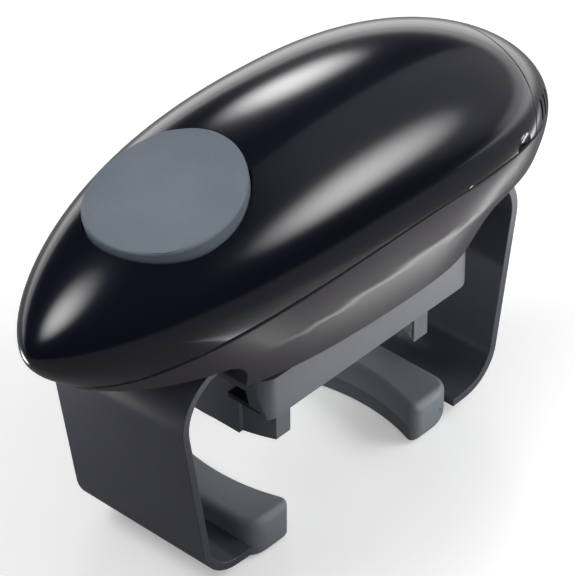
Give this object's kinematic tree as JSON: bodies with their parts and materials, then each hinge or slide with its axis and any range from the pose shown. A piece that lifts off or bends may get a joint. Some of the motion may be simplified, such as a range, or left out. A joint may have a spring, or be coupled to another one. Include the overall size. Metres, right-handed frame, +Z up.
{
  "type": "electric jar opener",
  "caption": "Egg-shaped battery jar opener with a push button, two sliding C arms with rubber pads, and a turning carriage whose two jaws close on a lid.",
  "frame": {"origin": "on the ground under the turning axis of the carriage, level with the undersides of the pads", "axes": "+Z up along the turning axis, +X along the body towards the battery end, -X towards the button end"},
  "size_m": [0.2104, 0.0822, 0.135],
  "materials": {
    "black_gloss": "high gloss",
    "dark_gloss": "gloss",
    "button_grey": "fine leather grain",
    "arm_grey": "satin",
    "pad_rubber": "soft matte",
    "carriage_grey": "satin",
    "jaw_grey": "satin",
    "grip_steel": "bright stamped",
    "spring_steel": "plain",
    "motor_steel": "plated",
    "brass": "plain",
    "gear_plastic": "natural",
    "inner_plastic": "moulded",
    "cell_wrap": "plain wrap"
  },
  "bodies": {
    "body": {"upper_shell": "black_gloss", "lower_shell": "dark_gloss", "button_spring": "spring_steel", "switch_body": "inner_plastic", "switch_bracket": "inner_plastic", "ring_gear": "gear_plastic", "chassis_plate": "inner_plastic", "gear_axle_1": "spring_steel", "gear_axle_2": "spring_steel", "motor_plate": "inner_plastic", "motor": "motor_steel", "battery_tray": "inner_plastic", "battery_cell_left": "cell_wrap", "battery_cell_right": "cell_wrap", "contact_spring": "spring_steel", "contact_plates": "spring_steel", "shell_screws": "spring_steel", "chassis_screws": "spring_steel"},
    "cover": {"battery_cover": "black_gloss", "cover_contact": "spring_steel"},
    "button": {"button_cap": "button_grey"},
    "plunger": {"switch_plunger": "gear_plastic"},
    "left_arm": {"arm_left": "arm_grey", "pad_left": "pad_rubber"},
    "right_arm": {"arm_right": "arm_grey", "pad_right": "pad_rubber"},
    "arm_drive": {"arm_pinion": "gear_plastic"},
    "turning_carriage": {"carriage": "carriage_grey", "carriage_cover": "jaw_grey", "hub_ring": "spring_steel", "carriage_screws": "spring_steel", "planet_carrier": "gear_plastic"},
    "planet_1": {"planet_gear_1": "gear_plastic"},
    "planet_2": {"planet_gear_2": "gear_plastic"},
    "planet_3": {"planet_gear_3": "gear_plastic"},
    "sun": {"sun_gear": "gear_plastic", "main_gear": "gear_plastic"},
    "reduction_2": {"reduction_gear_2": "gear_plastic"},
    "reduction_1": {"reduction_gear_1": "gear_plastic"},
    "motor_shaft": {"motor_pinion": "brass"},
    "left_jaw": {"jaw_left": "carriage_grey", "grip_plate_left": "grip_steel"},
    "right_jaw": {"jaw_right": "carriage_grey", "grip_plate_right": "grip_steel"},
    "jaw_drive": {"jaw_pinion": "gear_plastic"}
  },
  "joints": [
    {"name": "battery_cover_slide", "type": "slide", "parent": "body", "child": "cover", "axis": [1, 0, 0], "range_m": [0, 0.05]},
    {"name": "button_press", "type": "slide", "parent": "body", "child": "button", "axis": [0.225, 0, -0.9744], "range_m": [0, 0.0015], "stiffness_N_per_m": 800, "springref_m": -0.002, "deforming": ["button_spring"]},
    {"name": "switch_plunger_press", "type": "slide", "parent": "body", "child": "plunger", "axis": [0.225, 0, -0.9744], "range_m": [0, 0.0015]},
    {"name": "arm_left_slide", "type": "slide", "parent": "body", "child": "left_arm", "axis": [-1, 0, 0], "range_m": [-0.011, 0.017]},
    {"name": "arm_right_slide", "type": "slide", "parent": "body", "child": "right_arm", "axis": [1, 0, 0], "range_m": [-0.011, 0.017]},
    {"name": "arm_pinion_turn", "type": "hinge", "parent": "body", "child": "arm_drive", "pos_m": [0, 0, 0.082], "axis": [0, 0, 1], "range_deg": [-53, 82]},
    {"name": "carriage_spin", "type": "hinge", "parent": "body", "child": "turning_carriage", "pos_m": [0, 0, 0.075], "axis": [0, 0, 1], "continuous": true},
    {"name": "planet_1_spin", "type": "hinge", "parent": "turning_carriage", "child": "planet_1", "pos_m": [0.0144, 0, 0.089], "axis": [0, 0, 1], "continuous": true},
    {"name": "planet_2_spin", "type": "hinge", "parent": "turning_carriage", "child": "planet_2", "pos_m": [-0.0072, 0.01247, 0.089], "axis": [0, 0, 1], "continuous": true},
    {"name": "planet_3_spin", "type": "hinge", "parent": "turning_carriage", "child": "planet_3", "pos_m": [-0.0072, -0.01247, 0.089], "axis": [0, 0, 1], "continuous": true},
    {"name": "sun_spin", "type": "hinge", "parent": "body", "child": "sun", "pos_m": [0, 0, 0.09], "axis": [0, 0, 1], "continuous": true},
    {"name": "reduction_2_spin", "type": "hinge", "parent": "body", "child": "reduction_2", "pos_m": [-0.0186, 0, 0.098], "axis": [0, 0, 1], "continuous": true},
    {"name": "reduction_1_spin", "type": "hinge", "parent": "body", "child": "reduction_1", "pos_m": [-0.01042, 0.01468, 0.1], "axis": [0, 0, 1], "continuous": true},
    {"name": "motor_spin", "type": "hinge", "parent": "body", "child": "motor_shaft", "pos_m": [0, 0, 0.105], "axis": [0, 0, 1], "continuous": true},
    {"name": "jaw_left_slide", "type": "slide", "parent": "turning_carriage", "child": "left_jaw", "axis": [-1, 0, 0], "range_m": [-0.015, 0.012]},
    {"name": "jaw_right_slide", "type": "slide", "parent": "turning_carriage", "child": "right_jaw", "axis": [1, 0, 0], "range_m": [-0.015, 0.012]},
    {"name": "jaw_pinion_turn", "type": "hinge", "parent": "turning_carriage", "child": "jaw_drive", "pos_m": [0, 0, 0.065], "axis": [0, 0, 1], "range_deg": [-108, 87]}
  ],
  "couplings": [
    {"joint": "switch_plunger_press", "follows": "button_press", "ratio": 1},
    {"joint": "arm_right_slide", "follows": "arm_left_slide", "ratio": 1},
    {"joint": "arm_pinion_turn", "follows": "arm_left_slide", "rad_per_m": 83.333},
    {"joint": "planet_1_spin", "follows": "carriage_spin", "ratio": -3},
    {"joint": "planet_2_spin", "follows": "carriage_spin", "ratio": -3},
    {"joint": "planet_3_spin", "follows": "carriage_spin", "ratio": -3},
    {"joint": "sun_spin", "follows": "carriage_spin", "ratio": 4},
    {"joint": "reduction_2_spin", "follows": "carriage_spin", "ratio": -16.667},
    {"joint": "reduction_1_spin", "follows": "carriage_spin", "ratio": 61.111},
    {"joint": "motor_spin", "follows": "carriage_spin", "ratio": -244.44},
    {"joint": "jaw_right_slide", "follows": "jaw_left_slide", "ratio": 1},
    {"joint": "jaw_pinion_turn", "follows": "jaw_left_slide", "rad_per_m": 125}
  ]
}
